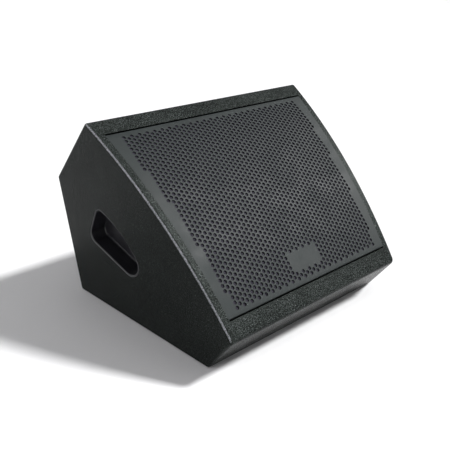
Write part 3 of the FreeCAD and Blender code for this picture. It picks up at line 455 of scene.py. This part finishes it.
class Curve:
    """The grille's cross-section: an arc whose two ends bend back into the cabinet.

    A place on the sheet is its run, the length along the sheet upwards from the arc's
    middle, and its depth behind the outer face.
    """

    def __init__(self, node):
        points = vertices(node)
        low = points[points[:, 1] < points[:, 1].min() + 0.05 * MM]
        high = points[points[:, 1] > points[:, 1].max() - 0.05 * MM]
        ends = [max(rim, key=lambda point: point[2])[1:] for rim in (low, high)]
        crown = max(points, key=lambda point: point[2])[1:]
        rows = np.array([(2 * u, 2 * v, 1) for u, v in (*ends, crown)])
        squares = np.array([u * u + v * v for u, v in (*ends, crown)])
        self.u, self.v, rest = np.linalg.solve(rows, squares)
        self.radius = math.sqrt(rest + self.u ** 2 + self.v ** 2)
        self.floor = points[:, 2].min()
        self.bends = [math.asin((abs(end[0] - self.u) - FOLD_RADIUS) / (self.radius - FOLD_RADIUS))
                      for end in ends]
        widths = [(self.back(*end), abs(rim[:, 0]).max()) for rim, end in zip((low, high), ends)]
        (back_low, self.width_low), (back_high, width_high) = widths
        self.back_low = back_low
        self.spread = (width_high - self.width_low) / (back_high - back_low)

    @staticmethod
    def back(u, v):
        """Distance towards the cabinet's rear of a point in the slope's own axes."""
        return u * UP_SLOPE.y + v * OUT.y

    def section(self, run, depth):
        """The point (up the slope, out of it) at a run and a depth."""
        side = 1 if run > 0 else 0
        sign = 1 if side else -1
        bend = self.bends[side]
        beyond = abs(run) - bend * self.radius
        if beyond <= 0:
            angle = abs(run) / self.radius
            reach = self.radius - depth
            return self.u + sign * reach * math.sin(angle), self.v + reach * math.cos(angle)
        turn = min(beyond / FOLD_RADIUS, math.pi / 2 - bend)
        straight = max(beyond - FOLD_RADIUS * (math.pi / 2 - bend), 0)
        inner = self.radius - FOLD_RADIUS
        reach = FOLD_RADIUS - depth
        return (self.u + sign * (inner * math.sin(bend) + reach * math.sin(bend + turn)),
                self.v + inner * math.cos(bend) + reach * math.cos(bend + turn) - straight)

    def place(self, across, run, depth=0.0):
        u, v = self.section(run, depth)
        return Vector((across, 0, 0)) + UP_SLOPE * u + OUT * v

    def half_width(self, run):
        """Half of the sheet's width, which follows the converging sides."""
        return self.width_low + self.spread * (self.back(*self.section(run, 0)) - self.back_low)

    def fold_rows(self, side):
        """Runs of the rows in one folded edge, from the arc's end to the sheet's edge."""
        sign = 1 if side else -1
        bend = self.bends[side]
        start = bend * self.radius
        turned = FOLD_RADIUS * (math.pi / 2 - bend)
        bent = [start + turned * step / FOLD_STEPS for step in range(FOLD_STEPS + 1)]
        depth = self.section(sign * bent[-1], 0)[1] - self.floor
        return [sign * run for run in (*bent, bent[-1] + depth)]


def hole_lattice(curve):
    """Lattice points of the perforation: {(column, row): (across, run)}, wholly on the sheet."""
    points = {}
    columns = int(curve.half_width(HOLE_RUN[1]) / (PITCH * math.sqrt(3) / 2)) + 1
    for column in range(-columns, columns + 1):
        across = column * PITCH * math.sqrt(3) / 2
        first = FIRST_HOLE - (column % 2) * PITCH / 2
        for row in LATTICE_ROWS:
            run = first + row * PITCH
            if (HOLE_RUN[0] < run < HOLE_RUN[1]
                    and abs(across) + PITCH * CELL_REACH < curve.half_width(run)):
                points[column, row] = (across, run)
    return points


def is_pierced(curve, across, run):
    """Whether a lattice point has a hole: not too near the sides, nor in the plain field."""
    on_field = abs(across) < BLANK_HALF_WIDTH and BLANK_RUN[0] < run < BLANK_RUN[1]
    return abs(across) + SIDE_BORDER < curve.half_width(run) and not on_field


class Sheet:
    """Flat mesh of the sheet in (across, run), with shared corners."""

    def __init__(self):
        self.points = []
        self.keys = {}
        self.faces = []

    @staticmethod
    def key(across, run):
        """Places closer than the merging distance share a key."""
        return round(across / MERGE), round(run / MERGE)

    def corner(self, across, run):
        key = self.key(across, run)
        if key not in self.keys:
            self.keys[key] = len(self.points)
            self.points.append((across, run))
        return self.keys[key]

    def hexagon(self, across, run):
        """Corners of the cell round a lattice point, counter-clockwise from +X."""
        size = PITCH / math.sqrt(3)
        return [self.corner(across + size * math.cos(math.radians(60 * step)),
                            run + size * math.sin(math.radians(60 * step)))
                for step in range(6)]

    def pierced_cell(self, across, run):
        """A cell with a round hole: fans between the hexagon's corners and the circle."""
        cell = self.hexagon(across, run)
        share = HOLE_SIDES // 6
        ring = []
        for side in range(HOLE_SIDES):
            angle = 2 * math.pi * side / HOLE_SIDES
            ring.append(len(self.points))
            self.points.append((across + HOLE_RADIUS * math.cos(angle),
                                run + HOLE_RADIUS * math.sin(angle)))
        for side in range(6):
            start = side * share
            arc = [ring[(start + step) % HOLE_SIDES] for step in range(share + 1)]
            self.faces.append((cell[side], cell[(side + 1) % 6], *reversed(arc)))

    def open_edges(self):
        """Edges that belong to one face only, each in its face's own direction."""
        seen = {}
        for face in self.faces:
            for start, end in zip(face, (*face[1:], face[0])):
                seen[start, end] = True
        return [edge for edge in seen if (edge[1], edge[0]) not in seen]

    def solid(self, place):
        """Corners and faces of the sheet with both its sides and all its cut edges."""
        count = len(self.points)
        corners = [place(*point, depth) for depth in (0, SHEET) for point in self.points]
        backs = [tuple(index + count for index in reversed(face)) for face in self.faces]
        walls = [(end, start, start + count, end + count) for start, end in self.open_edges()]
        return corners, self.faces + backs + walls


def border(sheet, curve, cells):
    """Fill the sheet between the cells and its outline, folded edges included."""
    low_rows, high_rows = curve.fold_rows(0), curve.fold_rows(1)
    steps = round((high_rows[0] - low_rows[0]) / PITCH)
    arc_rows = [low_rows[0] + (high_rows[0] - low_rows[0]) * step / steps
                for step in range(1, steps)]
    rows = [*reversed(low_rows), *arc_rows, *high_rows]
    points, edges = [], []

    def line(stops):
        first = len(points)
        points.extend(Vector(stop) for stop in stops)
        edges.extend((first + step, first + step + 1) for step in range(len(stops) - 1))

    for sign in (-1, 1):
        line([(sign * curve.half_width(row), row) for row in rows])
    for row in (*low_rows, *high_rows):
        half = curve.half_width(row)
        line([(half * step / RIM_STEPS, row) for step in range(-RIM_STEPS, RIM_STEPS + 1)])
    size = PITCH / math.sqrt(3)
    for edge in sheet.open_edges():
        if all(sheet.key(*sheet.points[end]) in sheet.keys for end in edge):
            line([sheet.points[end] for end in edge])
    flat, _, triangles, *_ = delaunay_2d_cdt(points, edges, [], 0, 1e-6)
    centres = np.array(list(cells.values()))
    for triangle in triangles:
        middle = sum((flat[index] for index in triangle), Vector((0, 0))) / 3
        near = np.hypot(*(centres - np.array(middle)).T).min()
        if near > size or not in_cell(centres, middle):
            face = tuple(sheet.corner(*flat[index]) for index in triangle)
            if len(set(face)) == 3:
                sheet.faces.append(face)


def in_cell(centres, middle):
    """Whether a point lies inside one of the lattice's hexagonal cells."""
    offsets = abs(centres - np.array(middle))
    across, run = offsets[:, 0], offsets[:, 1]
    inside = (run < PITCH / 2) & (across * math.sqrt(3) / 2 + run / 2 < PITCH / 2)
    return bool(inside.any())


def pierced_grille(curve):
    """The steel grille with its rows of round holes and its edges folded back."""
    sheet = Sheet()
    cells = hole_lattice(curve)
    for across, run in cells.values():
        if is_pierced(curve, across, run):
            sheet.pierced_cell(across, run)
        else:
            sheet.faces.append(tuple(sheet.hexagon(across, run)))
    border(sheet, curve, cells)
    corners, faces = sheet.solid(curve.place)
    item = piece("pierced_grille", corners, faces, "grille_coating")
    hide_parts("grille")


def foam_sheet(curve):
    """Open-cell foam behind the holes, slightly uneven and soft at its edges."""
    points = vertices("grille_foam")
    centre = np.array((curve.u, curve.v))
    depths = curve.radius - np.hypot(*(points[:, 1:] - centre).T)
    top_depth, bottom_depth = depths.min() + FOAM_GAP, depths.max()
    runs = np.arctan2(points[:, 1] - curve.u, points[:, 2] - curve.v) * curve.radius
    low, high = runs.min() + MM, runs.max() - MM
    margin = curve.half_width(0) - abs(points[abs(runs) < 40 * MM][:, 0]).max()
    across_steps, run_steps = 90, 80
    rounding, roundness = 4 * MM, 1.8 * MM
    lumps, lump_rise = 90, 0.25 * MM
    corners, faces = [], []
    for back in (False, True):
        for row in range(run_steps + 1):
            run = low + (high - low) * row / run_steps
            half = curve.half_width(run) - margin - 3 * MM
            for step in range(across_steps + 1):
                across = half * (2 * step / across_steps - 1)
                edge = min(1, (half - abs(across)) / rounding, (run - low) / rounding,
                           (high - run) / rounding)
                soft = (1 - math.sqrt(max(0, 1 - (1 - edge) ** 2))) * roundness
                lump = (noise(Vector((across, run, 0)) * lumps) + 1) * lump_rise
                depth = bottom_depth - soft if back else top_depth + soft + lump
                corners.append(curve.place(across, run, depth))
    width = across_steps + 1
    layer = width * (run_steps + 1)
    for row in range(run_steps):
        for step in range(across_steps):
            start = row * width + step
            quad = (start, start + 1, start + 1 + width, start + width)
            faces.append(quad)
            faces.append(tuple(index + layer for index in reversed(quad)))
    rim = ([step for step in range(width)]
           + [row * width + across_steps for row in range(1, run_steps + 1)]
           + [run_steps * width + step for step in range(across_steps - 1, -1, -1)]
           + [row * width for row in range(run_steps - 1, 0, -1)])
    for start, end in zip(rim, (*rim[1:], rim[0])):
        faces.append((end, start, start + layer, end + layer))
    item = piece("foam_sheet", corners, faces, "foam", sharp=80)
    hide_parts("grille_foam")


def softened_wadding():
    """Polyester wadding: a lofty mat with rounded edges and an uneven face."""
    voxel, inset, loft, fuzz = 4 * MM, 2.5 * MM, 3 * MM, 0.5 * MM
    lofts, fuzzes = 45, 200
    mat = bpy.data.objects.new("wadding_block", frame["nodes"]["wadding"].data.copy())
    bpy.context.collection.objects.link(mat)
    mat.modifiers.new("remesh", "REMESH").voxel_size = voxel
    smooth = mat.modifiers.new("smooth", "SMOOTH")
    smooth.factor, smooth.iterations = 0.5, 6
    mesh = bpy.data.meshes.new_from_object(mat.evaluated_get(bpy.context.evaluated_depsgraph_get()))
    bpy.data.objects.remove(mat)
    corners = [corner.co - corner.normal * (inset + loft * noise(corner.co * lofts)
                                            + fuzz * noise(corner.co * fuzzes))
               for corner in mesh.vertices]
    item = piece("wadding_mat", corners, [tuple(face.vertices) for face in mesh.polygons],
                 "wadding_fibre", sharp=80)
    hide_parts("wadding")


def stretching_ring(node, slot):
    """A ring that follows the cone at its inner edge and the frame at its outer edge.

    It is cut into equal sectors along its radii, each a piece of its own on no body.
    """
    sectors = 16
    weld = 1e-6
    middle = sum(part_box("former"), Vector()) / 2
    source = frame["nodes"][node].data
    for index in range(sectors):
        shape = bmesh.new()
        shape.from_mesh(source)
        bmesh.ops.remove_doubles(shape, verts=shape.verts, dist=weld)
        radius = Quaternion(OUT, math.tau * index / sectors) @ UP_SLOPE
        for side in (-1, 1):
            normal = Quaternion(OUT, math.pi / sectors * side) @ radius.cross(OUT) * -side
            cut = bmesh.ops.bisect_plane(shape, geom=[*shape.verts, *shape.edges, *shape.faces],
                                         plane_co=middle, plane_no=normal, clear_outer=True)
            rim = [item for item in cut["geom_cut"] if isinstance(item, bmesh.types.BMEdge)]
            bmesh.ops.triangle_fill(shape, edges=rim, use_beauty=True)
        shape.verts.index_update()
        corners = [tuple(corner.co) for corner in shape.verts]
        faces = [tuple(corner.index for corner in face.verts) for face in shape.faces]
        shape.free()
        item = piece(f"{node}_sector_{index + 1}", corners, faces, slot, sharp=50, body=None)
        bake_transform(item)
        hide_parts(node)


def cross_depth(x, y):
    """How deep the cross recess is at a point of a screw head."""
    half_width, half_length, wall, deep, taper = 0.45 * MM, 2.1 * MM, 0.2 * MM, 1.3 * MM, 0.45
    thin, long = sorted((abs(x), abs(y)))
    inside = min(1, (half_width - thin) / wall, (half_length - long) / wall)
    return deep * max(0, inside) * (1 - taper * long / half_length)


def input_screws():
    """Pan-head screws with a cross recess, where the CAD has the input panel's four."""
    plate = frame["nodes"]["input_plate"].data
    rearward = [face for face in plate.polygons if face.normal.y > 0]
    out = max(rearward, key=lambda face: face.area).normal
    axes = np.array([(1, 0, 0), out.cross(Vector((1, 0, 0))), out])
    screws = frame["nodes"]["input_screws"].data.vertices
    local = np.array([corner.co for corner in screws]) @ axes.T
    seat = max(corner.co.dot(out) for corner in plate.vertices)
    middle = local.mean(axis=0)
    sides, rings, shank, dome_share = 64, 18, 1.7 * MM, 0.8
    turning = np.array((310, 170, 0))
    corners, faces = [], []
    for left in (True, False):
        for low in (True, False):
            screw = local[((local[:, 0] < middle[0]) == left)
                          & ((local[:, 1] < middle[1]) == low)]
            lowest, highest = screw.min(axis=0), screw.max(axis=0)
            centre, radius = (lowest + highest) / 2, (highest - lowest)[0] / 2
            turn = centre @ turning
            first = len(corners)
            profile = [(radius * ring / rings, None) for ring in range(1, rings + 1)]
            profile += [(radius, seat), (shank, seat), (shank, lowest[2])]
            for reach, height in profile:
                for side in range(sides):
                    angle = math.tau * side / sides
                    x, y = reach * math.cos(angle), reach * math.sin(angle)
                    z = height
                    if z is None:
                        dome = math.sqrt(1 - dome_share * (reach / radius) ** 2)
                        z = seat + (highest[2] - seat) * dome
                        z -= cross_depth(reach * math.cos(angle + turn),
                                         reach * math.sin(angle + turn))
                    corners.append(np.array((centre[0] + x, centre[1] + y, z)) @ axes)
            count = len(profile)
            for row in range(count - 1):
                for side in range(sides):
                    start = first + row * sides + side
                    end = first + row * sides + (side + 1) % sides
                    faces.append((start, start + sides, end + sides, end))
            faces.append(tuple(first + side for side in range(sides)))
            last = first + (count - 1) * sides
            faces.append(tuple(last + side for side in reversed(range(sides))))
    item = piece("panel_screws", corners, faces, "black_screws")
    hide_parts("input_screws")


# ----------------------------------------------------------------------- stage


def area_light(name, place, target, size, power, color=(1, 1, 1)):
    data = bpy.data.lights.new(name, "AREA")
    data.size = size
    data.energy = power
    data.color = color
    item = bpy.data.objects.new(name, data)
    item.location = place
    item.rotation_euler = (Vector(target) - Vector(place)).to_track_quat("-Z", "Y").to_euler()
    bpy.context.collection.objects.link(item)


def floor():
    """Plain pale floor with a faint mottle, swept up into a round wall far from the part."""
    mesh = bpy.data.meshes.new("floor")
    reach, cove, wall = 12.0, 4.0, 10.0
    sides, cove_steps = 96, 12
    middle = 0.5
    outline = [(middle, 0)]
    for step in range(cove_steps + 1):
        angle = math.pi / 2 * step / cove_steps
        outline.append((reach + cove * math.sin(angle), cove * (1 - math.cos(angle))))
    outline.append((reach + cove, wall))
    corners = [(radius * math.cos(math.tau * side / sides),
                radius * math.sin(math.tau * side / sides), height)
               for radius, height in outline for side in range(sides)]
    faces = [tuple(range(sides))]
    for row in range(len(outline) - 1):
        for side in range(sides):
            start, end = row * sides + side, row * sides + (side + 1) % sides
            faces.append((start, start + sides, end + sides, end))
    mesh.from_pydata(corners, [], faces)
    mesh.polygons.foreach_set("use_smooth", [True] * len(mesh.polygons))
    shader = Shader("pale_floor", (0.86, 0.86, 0.86), 0.8, specular=0.1)
    tone = shader.noise(0.4, 3, 0.5)
    shader.color(tone, [(0.3, (0.84, 0.84, 0.845)), (0.7, (0.88, 0.88, 0.885))])
    shader.roughness(tone, 0.75, 0.85)
    mesh.materials.append(shader.material)
    item = bpy.data.objects.new("floor", mesh)
    bpy.context.collection.objects.link(item)


def studio():
    """Pale room light, one high soft sun from the right and two weak soft boxes."""
    world = bpy.data.worlds.new("studio")
    world.use_nodes = True
    world.node_tree.nodes["Background"].inputs["Color"].default_value = (1, 1, 1, 1)
    world.node_tree.nodes["Background"].inputs["Strength"].default_value = 0.15
    scene = bpy.context.scene
    scene.world = world
    scene.view_settings.view_transform = "Standard"
    middle = (cad_box[0] + cad_box[1]) / 2
    sun = bpy.data.lights.new("overhead", "SUN")
    sun.energy = 4.3
    sun.angle = math.radians(8)
    shining = Vector((-0.6, 0.35, -0.72))
    overhead = bpy.data.objects.new("overhead", sun)
    overhead.rotation_euler = shining.to_track_quat("-Z", "Y").to_euler()
    bpy.context.collection.objects.link(overhead)
    area_light("top", (0.3, -0.1, 2.5), middle, 1.0, 4)
    area_light("edge", (-1.25, -0.65, 1.85), middle, 0.25, 4, (0.96, 0.94, 1))


def camera():
    """The photograph's view: from the front left, a little above."""
    data = bpy.data.cameras.new("camera")
    data.sensor_width = 36
    data.lens = 46.3
    azimuth, elevation, roll = 40.2, 25.8, 0.67
    place = Vector((-0.6778, -0.7646, 0.6237))
    item = bpy.data.objects.new("camera", data)
    turn = (Matrix.Rotation(math.radians(-azimuth), 4, "Z")
            @ Matrix.Rotation(math.radians(90 - elevation), 4, "X")
            @ Matrix.Rotation(math.radians(roll), 4, "Z"))
    item.matrix_world = Matrix.Translation(place) @ turn
    bpy.context.collection.objects.link(item)
    bpy.context.scene.camera = item


dress_frame()
sheet_curve = Curve("grille")
pierced_grille(sheet_curve)
foam_sheet(sheet_curve)
softened_wadding()
stretching_ring("surround", "rubber")
stretching_ring("spider", "spider_cloth")
input_screws()
floor()
studio()
camera()
